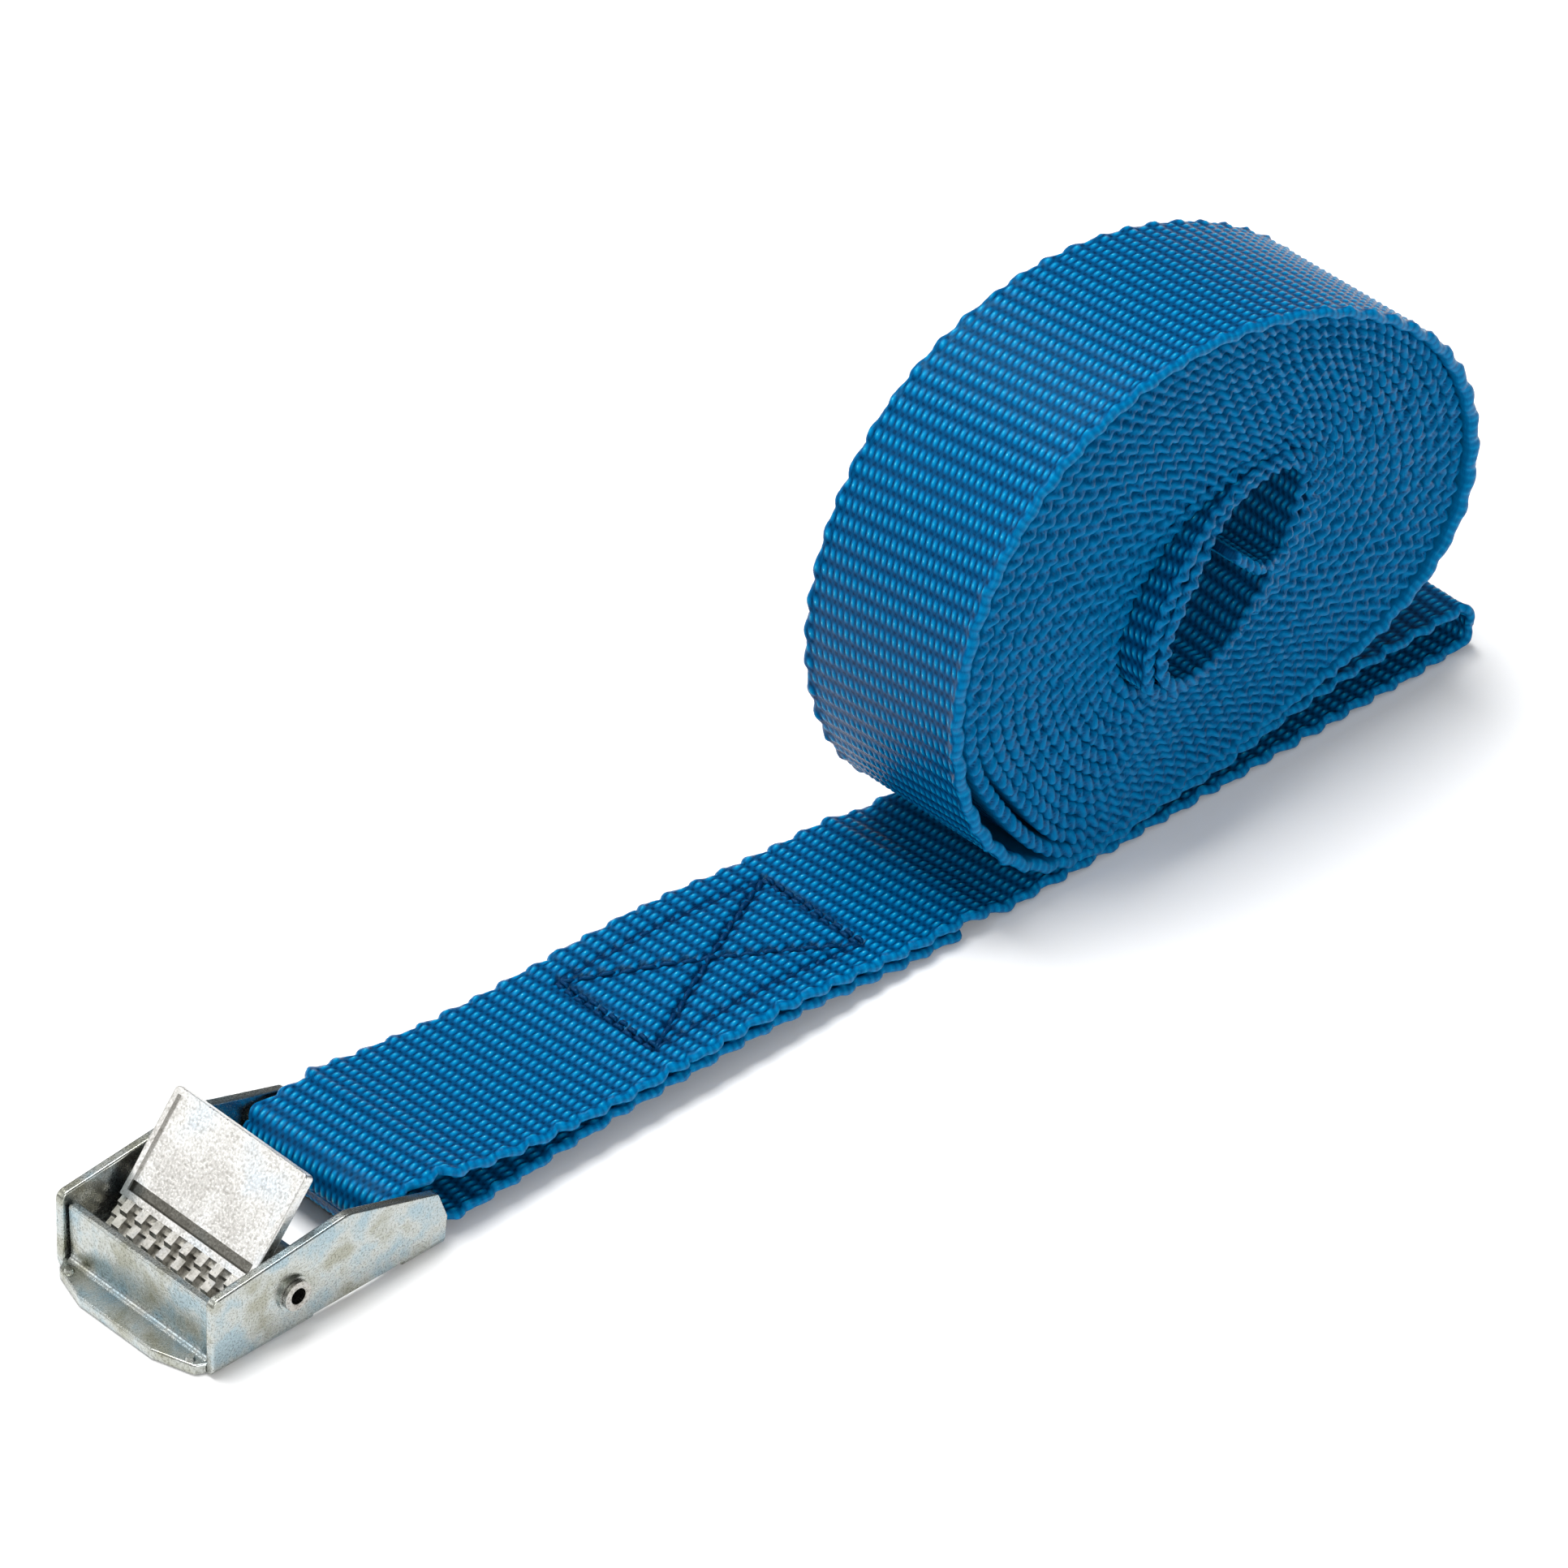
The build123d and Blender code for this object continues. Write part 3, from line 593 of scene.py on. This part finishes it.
def painted_groove_shade(tree, spot, finish):
    """Paints shade on the underside of the thumb plate's foot, in the groove above the teeth."""
    along = add(tree, "ShaderNodeVectorMath", {"operation": "DOT_PRODUCT", 1: LEVER_ALONG}, {0: spot})
    deep = add(tree, "ShaderNodeVectorMath", {"operation": "DOT_PRODUCT", 1: LEVER_DEPTH}, {0: spot})
    foot_end = {"operation": "LESS_THAN", 1: LEVER_ALONG.dot(LEVER_FOOT) + GROOVE_WIDTH * MM}
    foot_face = {"operation": "GREATER_THAN", 1: LEVER_DEPTH.dot(LEVER_FOOT) + GROOVE_DEPTH * MM}
    past = add(tree, "ShaderNodeMath", foot_end, {0: along.outputs["Value"]})
    under = add(tree, "ShaderNodeMath", foot_face, {0: deep.outputs["Value"]})
    both = {0: past.outputs["Value"], 1: under.outputs["Value"]}
    inside = add(tree, "ShaderNodeMath", {"operation": "MULTIPLY"}, both)
    # Painted shade: the groove's colour is multiplied by a mid grey.
    blend = {"data_type": "RGBA", "blend_type": "MULTIPLY", 7: linear("#7E7D78")}
    groove_shade = add(tree, "ShaderNodeMix", blend, {0: inside.outputs["Value"], 6: finish})
    return groove_shade.outputs[2]


def metal(name, dull, bright, tint, roughness, grain_mm, mottle_mm, pitting, fleck="#CDCCC8", groove=False):
    """A bare metal surface with fine grain, broad mottling, dark flecks and slight pitting; painted shade in
    the lever's groove if asked.
    """
    material, tree, shader = new_material(name)
    spot = add(tree, "ShaderNodeTexCoord").outputs["Object"]
    broad = {"Scale": 1 / (mottle_mm * MM), "Detail": 3.0, "Roughness": 0.55}
    fine = {"Scale": 1 / (grain_mm * MM), "Detail": 3.0}
    mottle = add(tree, "ShaderNodeTexNoise", broad, {"Vector": spot}).outputs["Fac"]
    grain = add(tree, "ShaderNodeTexNoise", fine, {"Vector": spot}).outputs["Fac"]
    clouds = [(0.36, dull), (0.5, bright), (0.64, tint)]
    colour = add(tree, "ShaderNodeValToRGB", links={"Fac": mottle}, steps=clouds).outputs["Color"]
    specks = [(0.34, fleck), (0.5, "#FFFFFF")]
    flecks = add(tree, "ShaderNodeValToRGB", links={"Fac": grain}, steps=specks).outputs["Color"]
    blend = {"data_type": "RGBA", "blend_type": "MULTIPLY", 0: 1.0}
    finish = add(tree, "ShaderNodeMix", blend, {6: colour, 7: flecks}).outputs[2]
    # Painted shade in the groove under the thumb plate's foot.
    if groove:
        finish = painted_groove_shade(tree, spot, finish)
    tree.links.new(finish, shader.inputs["Base Color"])
    worn = {"From Min": 0.3, "From Max": 0.7, "To Min": roughness + 0.12, "To Max": roughness - 0.06}
    rough = add(tree, "ShaderNodeMapRange", worn, {"Value": grain})
    tree.links.new(rough.outputs["Result"], shader.inputs["Roughness"])
    bump = add(tree, "ShaderNodeBump", {"Strength": pitting, "Distance": 0.08 * MM}, {"Height": grain})
    tree.links.new(bump.outputs["Normal"], shader.inputs["Normal"])
    shader.inputs["Metallic"].default_value = 1.0
    return material


def stitch_mesh(name, centres, directions, normals, length):
    """A row of stitches: each a short twisted bead of thread that dives in at both ends."""
    sides = 8
    stations = 9
    points = []
    faces = []
    for centre, direction, normal in zip(centres, directions, normals):
        across = direction.cross(normal)
        base = len(points)
        for station in range(stations):
            share = station / (stations - 1) * 2 - 1
            fat = math.sqrt(max(STITCH_TIP, 1 - share**4))
            sink = -STITCH_DIVE * STITCH_WIDTH * share**4
            middle = centre + direction * (share * length / 2) + normal * sink
            for k in range(sides):
                turn = 2 * math.pi * k / sides
                ply = 1 + PLY_RELIEF * math.cos(2 * (turn + PLY_TWIST * share * math.pi))
                out = across * math.cos(turn) + normal * math.sin(turn)
                points.append(middle + out * (STITCH_WIDTH / 2 * fat * ply))
        for station in range(stations - 1):
            for k in range(sides):
                a = base + station * sides + k
                b = base + station * sides + (k + 1) % sides
                faces.append((a, b, b + sides, a + sides))
        faces.append([base + k for k in range(sides)][::-1])
        faces.append([base + (stations - 1) * sides + k for k in range(sides)])
    mesh = bpy.data.meshes.new(name)
    mesh.from_pydata([tuple(p * MM) for p in points], [], faces)
    mesh.polygons.foreach_set("use_smooth", [True] * len(mesh.polygons))
    mesh.materials.append(thread)
    return mesh


def on_face(face_name, x, y, sunk):
    """A stitch's place a little below one face of the sewn layers, and the way that face looks there."""
    up = 1 if face_name == "top" else -1
    curve = top_underside if up > 0 else tail_underside
    lift = WEB_THICKNESS if up > 0 else 0.0
    slope = float(curve(x + 0.5) - curve(x - 0.5))
    normal = Vector((-slope, 0, 1)).normalized() * up
    return Vector((x, y, float(curve(x)) + lift)) - normal * sunk, normal


def sew(face_name):
    """The sewn box's rows on one face. The two ends are sewn twice, side by side, with short stitches."""
    made = []
    for row_name, (start, end) in stitch_rows().items():
        run = Vector((end[0] - start[0], end[1] - start[1], 0))
        heavy = row_name.startswith("end")
        lanes = END_LANES if heavy else (0.0,)
        sunk = SUNK_IN_STROKES if row_name.startswith("stroke") else SUNK_AT_SIDES
        sunk = SUNK_AT_ENDS if heavy else sunk
        count = max(2, round(run.length / (END_STITCH_PITCH if heavy else STITCH_PITCH)))
        centres, directions, normals = [], [], []
        for k in range(count):
            share = (k + 0.5) / count
            middle, normal = on_face(face_name, start[0] + run.x * share, start[1] + run.y * share, sunk)
            direction = run.normalized()
            direction = (direction - normal * direction.dot(normal)).normalized()
            sideways_on = direction.cross(normal)
            for lane in lanes:
                wobble = STITCH_WANDER * math.sin(k * 2.4 + lane)
                centres.append(middle + sideways_on * (lane + wobble))
                directions.append((direction + sideways_on * STITCH_SKEW * math.sin(k * 1.7)).normalized())
                normals.append(normal)
        name = "stitches_" + face_name + "_" + row_name
        mesh = stitch_mesh(name, centres, directions, normals, run.length / count * STITCH_FILL)
        piece = bpy.data.objects.new(name, mesh)
        bpy.context.collection.objects.link(piece)
        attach(piece, "strap")
        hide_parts(*["thread_" + face_name + "_" + cad for cad in CAD_ROWS.get(row_name, [row_name])])
        made.append(piece)
    return made


def soft_light(name, place, size, power):
    """A broad soft studio lamp that looks at the middle of the strap."""
    lamp = bpy.data.lights.new(name, "AREA")
    lamp.shape = "RECTANGLE"
    lamp.size = size[0]
    lamp.size_y = size[1]
    lamp.energy = power
    holder = bpy.data.objects.new(name, lamp)
    holder.location = place
    holder.rotation_euler = (LAMPS_AIM - Vector(place)).to_track_quat("-Z", "Y").to_euler()
    bpy.context.collection.objects.link(holder)


# ---- camera ----
AIM = Vector((97.68, 3.14, 20.0)) * MM
CAMERA_AZIMUTH = math.radians(-42.85)
CAMERA_ELEVATION = math.radians(37.06)
CAMERA_DISTANCE = 1.2
back = Vector((
    math.sin(CAMERA_AZIMUTH) * math.cos(CAMERA_ELEVATION),
    -math.cos(CAMERA_AZIMUTH) * math.cos(CAMERA_ELEVATION),
    math.sin(CAMERA_ELEVATION),
))
camera = bpy.data.cameras.new("camera")
camera.lens = 248.5
camera.sensor_width = 36.0
camera.clip_start = 0.05
camera.clip_end = 20.0
holder = bpy.data.objects.new("camera", camera)
holder.location = AIM + back * CAMERA_DISTANCE
holder.rotation_euler = (-back).to_track_quat("-Z", "Y").to_euler()
bpy.context.collection.objects.link(holder)
bpy.context.scene.camera = holder
bpy.context.scene.view_settings.view_transform = "Standard"

# ---- finishes ----
# The lever's own directions at rest, and the groove between its thumb plate and its teeth, where shade is
# painted.
LEVER_LEAN = math.radians(50.0)
LEVER_ALONG = Vector((math.cos(LEVER_LEAN), 0, math.sin(LEVER_LEAN)))
LEVER_DEPTH = Vector((math.sin(LEVER_LEAN), 0, -math.cos(LEVER_LEAN)))
LEVER_FOOT = Vector((8.0, 0, 8.25)) * MM
GROOVE_WIDTH = 0.78
GROOVE_DEPTH = 0.3

webbing = polypropylene_webbing()
thread = bonded_sewing_thread()
# The grain of plating and castings is a few hundredths of a millimetre. It is drawn at 0.15 to 0.3 mm,
# because finer grain wouldn't show.
# Steel pressed from sheet, then zinc plated: grey with clouds of blue and straw from the passivation.
zinc_plate = metal("bright_zinc_plated_steel", "#9C9D91", "#B4B8B5", "#9CAEB5", 0.25, 0.25, 4.5, 0.22)
# Zinc cast in a polished die: the palest metal here, almost even, with a soft shine, and shade painted in its
# groove.
die_cast = metal(
    "die_cast_zinc", "#C9C7C3", "#D9D8D5", "#D0D6DA", 0.28, 0.3, 8.0, 0.2, fleck="#DEDDDA", groove=True
)
# The same casting on the teeth, rubbed by webbing: duller, patchy and more pitted, and painted darker as
# shade to tone down the key lamp's reflection on the tooth tops.
worn_and_shaded_die_cast = metal("worn_and_shaded_die_cast_zinc", "#A8A69F", "#D0CEC8", "#BDBDBA", 0.34, 0.3, 2.5, 0.35)
# Drawn tube, nickel plated and turned over at its ends: smoother, with warm dark patches.
rivet_steel = metal("nickel_plated_rivet", "#8C8882", "#B2AFA9", "#A3A4A4", 0.22, 0.25, 3.0, 0.3)
# Drawn spring wire: an even cool grey.
spring_wire = metal("drawn_spring_wire", "#8E9092", "#A3A5A7", "#B2B3B4", 0.28, 0.15, 3.0, 0.2)

finishes = {
    "side_wall_near": zinc_plate,
    "side_wall_far": zinc_plate,
    "front_ledge": zinc_plate,
    "front_wall": zinc_plate,
    "base_cross_strip": zinc_plate,
    "rear_strip": zinc_plate,
    "rear_bar": zinc_plate,
    "thumb_plate": die_cast,
    "cam_barrel": worn_and_shaded_die_cast,
    "hollow_rivet": rivet_steel,
    "spring_coil": spring_wire,
    "spring_base_leg": spring_wire,
    "spring_lever_leg": spring_wire,
}
for node, finish in finishes.items():
    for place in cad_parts[node].material_slots:
        place.material = finish

# ---- webbing ----
# A strip has full columns on the faces that show, and few on faces that lie against another turn.
lay = Lay()
BOTH_FACES = (WOVEN_COLUMNS, WOVEN_COLUMNS)
NO_FACES = (PACKED_COLUMNS, PACKED_COLUMNS)
bar_split = lay.length_at_bar()
run_split = lay.sewn_length + FLOOR_RUN_SPLIT
outer_end = lay.length_at_turn(OUTER_TURN_ENDS)
middle_split = lay.length_at_turn(OUTSIDE_ENDS)
core_start = lay.length_at_turn(ROLL_TURNS - CORE_TURNS)
eye_start = lay.length_at_turn(ROLL_TURNS - EYE_TURNS)
loose_end = lay.total - CUT_BACK
top_stitches = sew("top")
under_stitches = sew("under")
woven_strip(
    "webbing_sewn_tail", lay, 0.0, bar_split, ROW_STEP, BOTH_FACES,
    ["strap_sewn_tail", "strap_loop"],
)
woven_strip(
    "webbing_top_layer", lay, bar_split, run_split, ROW_STEP, BOTH_FACES,
    ["strap_loop", "strap_top_layer"],
)
woven_strip(
    "webbing_floor_run", lay, run_split, lay.roll_start, ROW_STEP, (FLOOR_RUN_COLUMNS, FLOOR_RUN_COLUMNS),
    ["strap_floor_run", "strap_fold"],
)
woven_strip(
    "webbing_outer_turn", lay, lay.roll_start, outer_end, OUTER_TURN_STEP,
    (WOVEN_COLUMNS, OUTER_TURN_INSIDE_COLUMNS), ["strap_coil"],
)
woven_strip(
    "webbing_turns_outside", lay, outer_end, middle_split, OUTSIDE_STEP, NO_FACES,
    ["strap_coil"],
)
woven_strip(
    "webbing_turns_inside", lay, middle_split, core_start, INSIDE_STEP, NO_FACES,
    ["strap_coil"],
)
woven_strip(
    "webbing_core", lay, core_start, eye_start, ROW_STEP,
    (WOVEN_COLUMNS, CORE_INSIDE_COLUMNS), ["strap_coil"],
)
woven_strip(
    "webbing_eye", lay, eye_start, loose_end, ROW_STEP, BOTH_FACES,
    ["strap_coil"],
)

# ---- floor and light ----
# The floor is a hair below the ground line, so the underside's floats don't cut into it.
bpy.ops.mesh.primitive_plane_add(size=6.0, location=(0.1, 0, -0.2 * MM))
floor = bpy.context.object
floor.name = "studio_floor"
paper, _, paper_shader = new_material("white_paper")
paper_shader.inputs["Base Color"].default_value = linear("#F2F2F2")
paper_shader.inputs["Roughness"].default_value = 0.9
floor.data.materials.append(paper)

# The room is lighter to the left and overhead, so the steel has something dark to mirror as well.
world = bpy.data.worlds.new("studio")
world.use_nodes = True
sky = world.node_tree
direction = add(sky, "ShaderNodeTexCoord")
parts = add(sky, "ShaderNodeSeparateXYZ", links={"Vector": direction.outputs["Generated"]})
to_left = {"From Min": 0.5, "From Max": -0.7, "To Min": 0.14, "To Max": 0.8}
to_top = {"From Min": 0.0, "From Max": 0.4, "To Min": 0.3, "To Max": 1.0}
left = add(sky, "ShaderNodeMapRange", to_left, {"Value": parts.outputs["X"]})
up = add(sky, "ShaderNodeMapRange", to_top, {"Value": parts.outputs["Z"]})
both = {0: left.outputs["Result"], 1: up.outputs["Result"]}
glow = add(sky, "ShaderNodeMath", {"operation": "MULTIPLY"}, both)
sky.links.new(glow.outputs["Value"], sky.nodes["Background"].inputs["Strength"])
sky.nodes["Background"].inputs["Color"].default_value = linear("#FFFFFF")
bpy.context.scene.world = world

LAMPS_AIM = Vector((0.1, 0, 0.02))
soft_light("key_overhead", (0.12, 0.3, 1.25), (0.7, 0.6), 20.0)
soft_light("back_left", (-0.55, 0.85, 0.55), (0.8, 0.3), 1.6)
soft_light("fill_from_front", (-0.3, -1.1, 0.6), (0.6, 0.5), 7.0)
